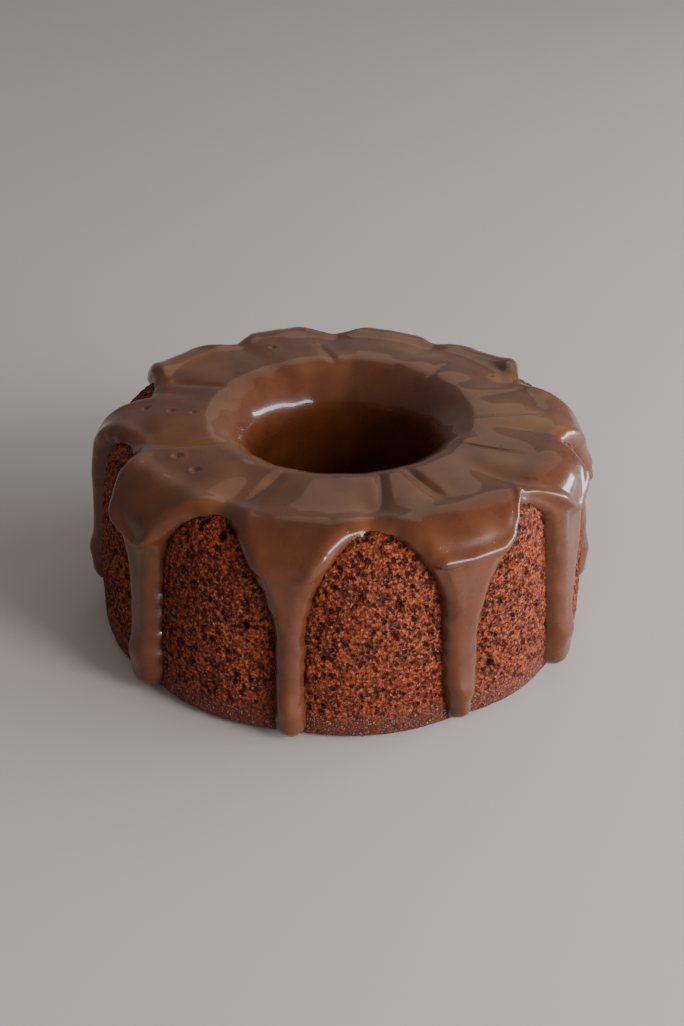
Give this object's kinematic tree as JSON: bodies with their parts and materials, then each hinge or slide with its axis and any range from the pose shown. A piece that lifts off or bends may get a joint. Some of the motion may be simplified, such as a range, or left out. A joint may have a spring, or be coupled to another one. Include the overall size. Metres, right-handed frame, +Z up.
{
  "type": "bundt cake",
  "caption": "Fluted ring-shaped chocolate sponge cake with a round hole, coated in thick chocolate icing that runs down the sides between arched panels of bare crumb.",
  "frame": {"origin": "centre of the hole, on the plane the cake rests on", "axes": "+Z up along the ring's axis, -Y towards the side with the widest bare panel in the middle of the front, +X to its right"},
  "size_m": [0.259, 0.2492, 0.1085],
  "materials": {
    "sponge": "open matt chocolate crumb, standing in for baked sponge",
    "icing": "glossy milk-chocolate ganache"
  },
  "bodies": {
    "root": {"cake": "sponge", "icing": "icing"}
  },
  "joints": []
}
